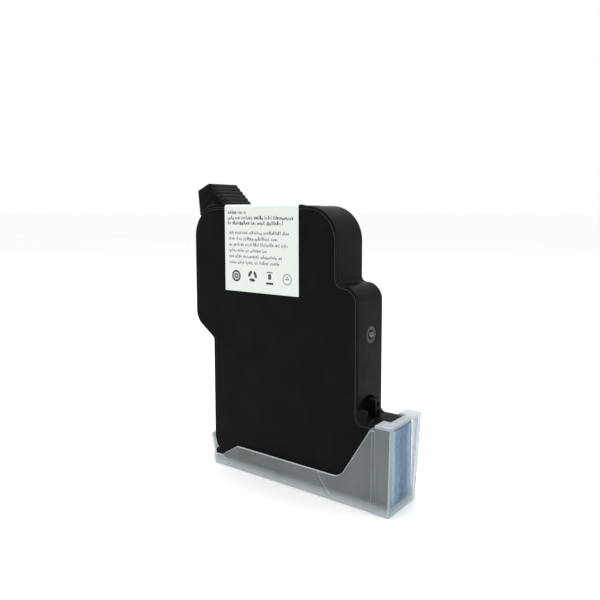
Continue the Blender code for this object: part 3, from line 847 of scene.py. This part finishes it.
def fill_port():
    """The ring plug of the fill port, bored for the steel ball that closes it."""
    x = BODY_RIGHT
    profile = [
        (x - 3.4, 1.5), (x - 3.4, 2.8), (x - 3.25, 2.95), (x - 0.65, 2.95), (x - 0.65, 4.2),
        (x - 0.5, 4.35), (x - 0.3, 4.35), (x - 0.14, 4.2), (x - 0.1, 3.9), (x - 0.1, 3.2),
        (x - 0.22, 2.7), (x - 0.5, 2.35), (x - 0.9, 2.15), (x - 1.4, 2.0),
    ]
    plug = turned("port_plug", profile, PORT_Y, PORT_Z, 96)
    bore = [(x - 4.0, 1.5), (x - 1.45, 1.5), (x - 1.15, 2.05), (x, 2.05)]
    cut(plug, turned("plug_bore", bore, PORT_Y, PORT_Z, 96))
    finish_piece(plug, "cartridge", PLUG_GREY, "black_plastic", "fill_plug")


# ---------------------------------------------------------------- label

def label():
    """The paper label: flat on the cover, bent loosely over the top edge, and flat on the top."""
    corners = [
        (LABEL_BACK, LABEL_BOTTOM, 0.0),
        (LABEL_BACK - 0.02, BODY_TOP + 0.75, 1.3),
        (LABEL_BACK + 4.0, BODY_TOP + 0.42, 6.0),
        (LABEL_BACK + 7.5, BODY_TOP + 0.12, 6.0),
        (LABEL_BACK + 19.0, BODY_TOP + 0.1, 0.0),
    ]
    line = open_line(corners)
    across = 28
    shape = bmesh.new()
    layers = []
    for thickness in (0.0, LABEL_THICK):
        rows = []
        for at, (y, z) in enumerate(line):
            before = Vector(line[max(at - 1, 0)])
            after = Vector(line[min(at + 1, len(line) - 1)])
            along = (after - before).normalized()
            out = Vector((-along.y, along.x)) * thickness
            row = []
            for step in range(across + 1):
                share = step / across
                x = LABEL_X[0] + (LABEL_X[1] - LABEL_X[0]) * share
                corner = corner_trim(share, at / (len(line) - 1))
                row.append(shape.verts.new((x + corner, y + out.x, z + out.y)))
            rows.append(row)
        layers.append(rows)
    made = sheet("label_sheet", shape, *layers)
    finish_piece(made, "cartridge", PAPER, "label_paper", "label", sharp=50)


def corner_trim(share, up):
    """How far a point is drawn in to round the label's foot corners, in millimetres."""
    near = min(up * 60.0, 1.0)
    pulled = 0.5 * (1.0 - math.sqrt(max(0.0, 1.0 - (1.0 - near) ** 2)))
    return pulled * (1.0 - 2.0 * share)


def open_line(corners, steps=7):
    """A line through the corners, each rounded with its radius."""
    points = [corners[0][:2]]
    for before, here, after in zip(corners, corners[1:], corners[2:]):
        arrive = (Vector(here[:2]) - Vector(before[:2])).normalized()
        leave = (Vector(after[:2]) - Vector(here[:2])).normalized()
        turn = arrive.angle_signed(leave)
        radius = here[2]
        start = Vector(here[:2]) - arrive * radius * math.tan(abs(turn) / 2)
        side = Vector((arrive.y, -arrive.x)) * math.copysign(1.0, turn)
        centre = start + side * radius
        for step in range(steps + 1):
            spoke = Matrix.Rotation(-turn * step / steps, 2) @ (start - centre)
            points.append(tuple(centre + spoke))
    points.append(corners[-1][:2])
    # The straight run up the cover is split, so that its foot corners can be rounded.
    low, high = Vector(points[0]), Vector(points[1])
    foot = [tuple(low + (high - low) * share) for share in (0.0, 0.004, 0.01, 0.02, 0.25, 0.5, 0.75)]
    return foot + points[1:]


def printed_mark(shape, x, z, size_x, size_z, cut_corner=0.2):
    """A flat mark with clipped corners."""
    half_x, half_z = size_x / 2, size_z / 2
    clip = min(half_x, half_z) * cut_corner
    outline = [
        (-half_x + clip, -half_z), (half_x - clip, -half_z),
        (half_x, -half_z + clip), (half_x, half_z - clip),
        (half_x - clip, half_z), (-half_x + clip, half_z),
        (-half_x, half_z - clip), (-half_x, -half_z + clip),
    ]
    print_outline(shape, [(x + across, z + up) for across, up in outline])


def print_outline(shape, outline):
    """Adds the outline to the print, a hair proud of the label."""
    near = [shape.verts.new((x, LABEL_FACE - PRINT_PROUD, z)) for x, z in outline]
    far = [shape.verts.new((x, LABEL_FACE + PRINT_SUNK, z)) for x, z in outline]
    shape.faces.new(near)
    shape.faces.new(far[::-1])
    for at in range(len(near)):
        after = (at + 1) % len(near)
        shape.faces.new((near[at], far[at], far[after], near[after]))


def printed_ring(shape, x, z, outer, inner, sides=28):
    """A flat ring."""
    front, back = LABEL_FACE - PRINT_PROUD, LABEL_FACE + PRINT_SUNK
    loops = []
    for radius, y in ((outer, front), (inner, front), (inner, back), (outer, back)):
        loop = []
        for side in range(sides):
            angle = 2 * math.pi * side / sides
            place = (x + radius * math.cos(angle), y, z + radius * math.sin(angle))
            loop.append(shape.verts.new(place))
        loops.append(loop)
    for near, far in zip(loops, loops[1:] + loops[:1]):
        for at in range(sides):
            after = (at + 1) % sides
            shape.faces.new((near[at], near[after], far[after], far[at]))


def printed_rows(rows, seed):
    """Rows of short strokes in place of printed text. Each row is (top, left, right, stroke height).

    The strokes' widths, heights, drops and gaps are shares of the row's stroke height.
    """
    shape = bmesh.new()
    draw = random.Random(seed)
    for height, left, right, tall in rows:
        x = left
        word = draw.randint(3, 8)
        while x < right:
            wide = tall * draw.choice((0.16, 0.2, 0.24, 0.42))
            rise = tall * draw.choice((0.6, 0.66, 0.72, 1.0))
            low = draw.choice((0.0, 0.0, 0.0, -0.18)) * tall
            printed_mark(shape, x + wide / 2, height - tall / 2 + low + rise / 2, wide, rise, 0.5)
            x += wide + tall * draw.choice((0.14, 0.18, 0.22))
            word -= 1
            if word == 0:
                x += tall * 0.42
                word = draw.randint(4, 14)
    return shape


def printed_arc(shape, x, z, outer, inner, start, sweep, steps=8):
    """Part of a flat ring, from the start angle through the sweep, in degrees."""
    outline = []
    for radius, order in ((outer, range(steps + 1)), (inner, range(steps, -1, -1))):
        for step in order:
            angle = math.radians(start + sweep * step / steps)
            outline.append((x + radius * math.cos(angle), z + radius * math.sin(angle)))
    print_outline(shape, outline)


def printed_signs(shape):
    """Four plain signs: a ring in a ring, a ring in three parts, stacked blocks, bars in a ring."""
    first, second, third, fourth = 17.8, 29.3, 41.0, 52.5
    printed_ring(shape, first, SIGNS_Z, 3.1, 2.05)
    printed_ring(shape, first, SIGNS_Z, 1.5, 0.6)
    for start in (100, 220, 340):
        printed_arc(shape, second, SIGNS_Z + 0.4, 3.0, 1.4, start, 88)
    printed_mark(shape, third, SIGNS_Z + 0.7, 2.0, 3.0, 0.5)
    printed_mark(shape, third, SIGNS_Z + 2.9, 3.9, 0.5, 0.5)
    printed_mark(shape, third, SIGNS_Z - 2.8, 4.9, 1.1, 0.2)
    printed_ring(shape, fourth, SIGNS_Z, 2.8, 2.45)
    printed_mark(shape, fourth, SIGNS_Z, 2.4, 0.5, 0.5)
    printed_mark(shape, fourth, SIGNS_Z + 1.1, 1.3, 0.4, 0.5)


def label_print():
    """The label's print: three rows and four signs in dark grey, and a paler block of six rows."""
    heading = [(139.2, 12.1, 25.0, 2.1), (136.3, 12.1, 56.3, 2.0), (133.6, 12.1, 49.6, 2.0)]
    dark = printed_rows(heading, seed=5)
    printed_signs(dark)
    finish_piece(draft("label_print_dark", dark), "cartridge", INK, "label_paper")
    top, pitch, left, tall = 128.5, 3.12, 12.8, 1.85
    rights = (54.0, 47.2, 52.6, 39.2, 48.4, 47.0)
    rows = [(top - pitch * row, left, right, tall) for row, right in enumerate(rights)]
    pale = draft("label_print_pale", printed_rows(rows, seed=23))
    finish_piece(pale, "cartridge", PALE_INK, "label_paper")


# ---------------------------------------------------------------- nozzle cap

def tub(name, x_foot, half_foot, z, lean, radii, foot_round):
    """A block that widens as it rises, with rounded uprights and a rounded foot.

    lean is how far the left end moves left per millimetre of height.
    """
    rings = []
    if foot_round:
        levels = [
            (foot_round * (1 - math.sin(a)), z[0] + foot_round * (1 - math.cos(a))) for a in quarter(4)
        ]
    else:
        levels = [(0.0, z[0])]
    for pulled, height in levels + [(0.0, z[1])]:
        rise = height - z[0]
        left = x_foot[0] - lean * rise
        right = x_foot[1] + CAP_DRAFT * rise
        half = half_foot + CAP_DRAFT * rise
        corners = [
            (left, -half, radii[0]), (left, half, radii[0]),
            (right, half, radii[1]), (right, -half, radii[1]),
        ]
        rings.append([(point.x, point.y, height) for point in rounded(inset(corners, pulled), 11.0)])
    return loft(name, rings)


def cap_keep():
    """What is left of the cap seen from the front: an upright, a low wall, an S curve and a sleeve."""
    outline = [
        (-20.0, CAP_BOTTOM - 5, 0.05),
        (-20.0, CAP_UPRIGHT_TOP, 0.05),
        (-0.9, CAP_UPRIGHT_TOP, 0.05),
        (-0.9, 4.0, 0.05),
        (6.2, 4.1, 1.5),
        (18.3, 11.7, 1.2),
        (85.5, 11.5, 8.0),
        (103.6, 39.7, 2.6),
        (CAP_HOOK_LEFT + 0.2, CAP_TOP - 1.2, 0.6),
        (CAP_HOOK_LEFT + 0.5, CAP_TOP, 0.5),
        (130.0, CAP_TOP, 0.05),
        (130.0, CAP_BOTTOM - 5, 0.05),
    ]
    return plate("cap_keep", outline, [(0, -30), (0, 30)])


def wall_half(z):
    """Half the width of the low wall's outside at this height."""
    return CAP_HALF_FOOT + CAP_DRAFT * (z - CAP_BOTTOM)


def curved_ribs(half_thick=0.28, proud=0.16, sunk=0.5):
    """A thin rib that curves down each long wall to the floor."""
    route = open_line([(72.3, 11.9, 0), (74.0, 7.4, 12.0), (79.6, 1.2, 0)], 6)
    made = []
    for side in (-1, 1):
        rings = []
        for at, (x, z) in enumerate(route):
            before = Vector(route[max(at - 1, 0)])
            after = Vector(route[min(at + 1, len(route) - 1)])
            across = (after - before).normalized()
            across = Vector((across.y, -across.x)) * half_thick
            face = wall_half(z)
            rings.append([
                (x - across.x, side * (face - sunk), z - across.y),
                (x - across.x * 0.6, side * (face + proud), z - across.y * 0.6),
                (x + across.x * 0.6, side * (face + proud), z + across.y * 0.6),
                (x + across.x, side * (face - sunk), z + across.y),
            ])
        made.append(loft(f"curved_rib_{side}", rings))
    return made


def inner_ribs(proud=0.06, sunk=0.3):
    """Shallow upright ribs inside the sleeve's long walls."""
    made = []
    for side in (-1, 1):
        for number, x in enumerate(INNER_RIB_X):
            rings = []
            for z in (CAP_BOTTOM + 0.6, CAP_HOOK_UNDER - 1.2):
                face = wall_half(z) + CAP_STEP - CAP_WALL
                rings.append([
                    (x - 0.8, side * (face + sunk), z), (x - 0.3, side * (face - proud), z),
                    (x + 0.3, side * (face - proud), z), (x + 0.8, side * (face + sunk), z),
                ])
            made.append(loft(f"inner_rib_{side}_{number}", rings))
    return made


def nozzle_cap():
    """The clear cap: a tub and a wider sleeve, hollowed, trimmed to its outline, and ribbed."""
    z = (CAP_BOTTOM, CAP_TOP + 3)
    long_x = (CAP_LEFT_FOOT, CAP_SLEEVE_LEFT + 3)
    cap = tub("clear_cap", long_x, CAP_HALF_FOOT, z, CAP_LEFT_LEAN, (4.0, 0.3), 0.9)
    sleeve_x = (CAP_SLEEVE_LEFT, CAP_RIGHT_FOOT)
    join(cap, tub("sleeve", sleeve_x, CAP_HALF_FOOT + CAP_STEP, z, -0.03, (0.3, 1.1), 0.9))
    half = CAP_HALF_FOOT - CAP_WALL
    room_x = (CAP_LEFT_FOOT + CAP_WALL, CAP_SLEEVE_LEFT + 4)
    room_z = (CAP_BOTTOM + 1.2, CAP_HOOK_UNDER)
    cut(cap, tub("room", room_x, half, room_z, CAP_LEFT_LEAN, (3.0, 0.3), 0))
    room_x = (CAP_SLEEVE_LEFT + 1.0 + CAP_WALL, CAP_RIGHT_FOOT - CAP_WALL)
    room_z = (room_z[0] - 0.4, CAP_HOOK_UNDER + 0.1)
    cut(cap, tub("sleeve_room", room_x, half + CAP_STEP, room_z, 0.0, (0.3, 0.5), 0))
    top_z = (CAP_HOOK_UNDER - 2, CAP_TOP + 5)
    hook_x = (CAP_HOOK_LEFT - 2, NOSE_RIGHT - 1.0)
    hook_z = (CAP_HOOK_UNDER - 1, CAP_TOP + 6)
    cut(
        cap,
        block("open_top", (-20, CAP_HOOK_LEFT), (-14.3, 14.3), top_z),
        block("hook_gap", hook_x, (-CAP_HOOK_INNER, CAP_HOOK_INNER), hook_z),
    )
    combine(cap, [cap_keep()], "INTERSECT")
    for side in (-1, 1):
        y = sorted((side * CAP_UPRIGHT_HALF, side * 30))
        cut(cap, block("corner_gap", (-20, -0.8), y, (3.4, 60)))
    bevel(cap, CAP_EDGE, (HOOK_CORNER, UPRIGHT_CORNER))
    join(cap, *curved_ribs(), *inner_ribs())
    mark_rims(cap, CAP_HALF_FOOT - CAP_WALL - 0.2)
    return finish_piece(cap, "cap", CAP_CLEAR, "clear_plastic", "nozzle_cap")


def nozzle_tape():
    """The blue strip over the nozzles, a little rippled."""
    low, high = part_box("nozzle_tape")
    low, high = TO_ROW.inverted() @ low, TO_ROW.inverted() @ high
    across, up = 10, 44
    shape = bmesh.new()
    layers = []
    for x in (low.x + 0.03, high.x - 0.05):
        rows = []
        for at in range(up + 1):
            z = low.z + (high.z - low.z) * at / up
            row = []
            for step in range(across + 1):
                y = low.y + (high.y - low.y) * step / across
                ripple = 0.03 * math.sin(at * 0.9) * math.sin(step * 1.3)
                row.append(shape.verts.new((x + ripple, y, z)))
            rows.append(row)
        layers.append(rows)
    made = sheet("tape_strip", shape, *layers)
    return finish_piece(made, "cartridge", TAPE, "tape_blue", "nozzle_tape", sharp=50)


# ---------------------------------------------------------------- carried CAD nodes

CARRIED = {
    "inner_frame": NATURAL,
    "ink_manifold": NATURAL,
    "bag_film_front": FILM,
    "bag_film_back": FILM,
    "edge_guard_front": FILM,
    "edge_guard_back": FILM,
    "pressure_plate_front": STEEL,
    "pressure_plate_back": STEEL,
    "bow_spring": STEEL,
    "ink_filter": STEEL,
    "fill_ball": BALL_STEEL,
    "head_carrier": CERAMIC,
    "nozzle_die": SILICON,
    "nozzle_plate": ORIFICE,
    "flex_circuit": POLYIMIDE,
    "contact_pads": GOLD,
    "encapsulant_lower": SEALANT,
    "encapsulant_upper": SEALANT,
}


def dress_carried_nodes():
    """Gives each CAD node that stays its procedural finish."""
    for name, finish in CARRIED.items():
        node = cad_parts[name]
        node.data.materials.clear()
        node.data.materials.append(finish)


# ---------------------------------------------------------------- set, lights and camera

def studio():
    """A wide pale floor under an even white sky."""
    shape = bmesh.new()
    bmesh.ops.create_circle(shape, cap_ends=True, segments=96, radius=30.0)
    floor = draft("floor", shape)
    finish = Finish("floor_pale")
    tone = finish.noise(400.0, 2.0)
    finish.colour(finish.ramp(tone, [(0.3, (0.955, 0.96, 0.96)), (0.7, (0.98, 0.98, 0.98))]))
    finish.set(Roughness=0.6, Specular_IOR_Level=0.2)
    floor.data.materials.append(finish.made)

    world = bpy.data.worlds.new("white_sky")
    bpy.context.scene.world = world
    world.use_nodes = True
    sky = world.node_tree.nodes["Background"]
    sky.inputs["Color"].default_value = (1.0, 1.0, 1.0, 1.0)
    sky.inputs["Strength"].default_value = 1.0


def soft_light(name, place, target, size, power, colour=(1, 1, 1)):
    """A rectangular light at this place, aimed at the target."""
    light = bpy.data.lights.new(name, "AREA")
    light.shape = "RECTANGLE"
    light.size, light.size_y = size
    light.energy = power
    light.color = colour
    made = bpy.data.objects.new(name, light)
    bpy.context.scene.collection.objects.link(made)
    made.location = place
    made.rotation_euler = (Vector(target) - Vector(place)).to_track_quat("-Z", "Y").to_euler()
    return made


def lights():
    """Soft light from high on the right, from above, and faintly from the front left."""
    middle = (0.0, 0.0, 0.07)
    soft_light("key_right", (0.5, -0.2, 0.95), middle, (0.5, 0.5), 1.2, (0.9, 0.95, 1.0))
    soft_light("top", (-0.1, 0.1, 0.95), middle, (0.6, 0.6), 6.0)
    soft_light("front_left", (-0.55, -0.8, 0.35), middle, (0.4, 0.4), 0.3)


def camera():
    """At the photograph's angle: a little above, turned about 36 degrees to the right."""
    lens = bpy.data.cameras.new("camera")
    made = bpy.data.objects.new("camera", lens)
    bpy.context.scene.collection.objects.link(made)
    made.location = (0.1972, -0.2571, 0.1407)
    made.rotation_euler = (math.radians(84.796), 0.0, math.radians(36.226))
    lens.lens = 37.64
    lens.sensor_width = 36.0
    lens.shift_x = -0.0202
    lens.shift_y = -0.0514
    lens.clip_start = 0.01
    bpy.context.scene.camera = made


outer_shell()
covers()
grip_tab()
fill_port()
label()
label_print()
nozzle_cap()
nozzle_tape()
dress_carried_nodes()
studio()
lights()
camera()
bpy.context.scene.view_settings.view_transform = "Standard"
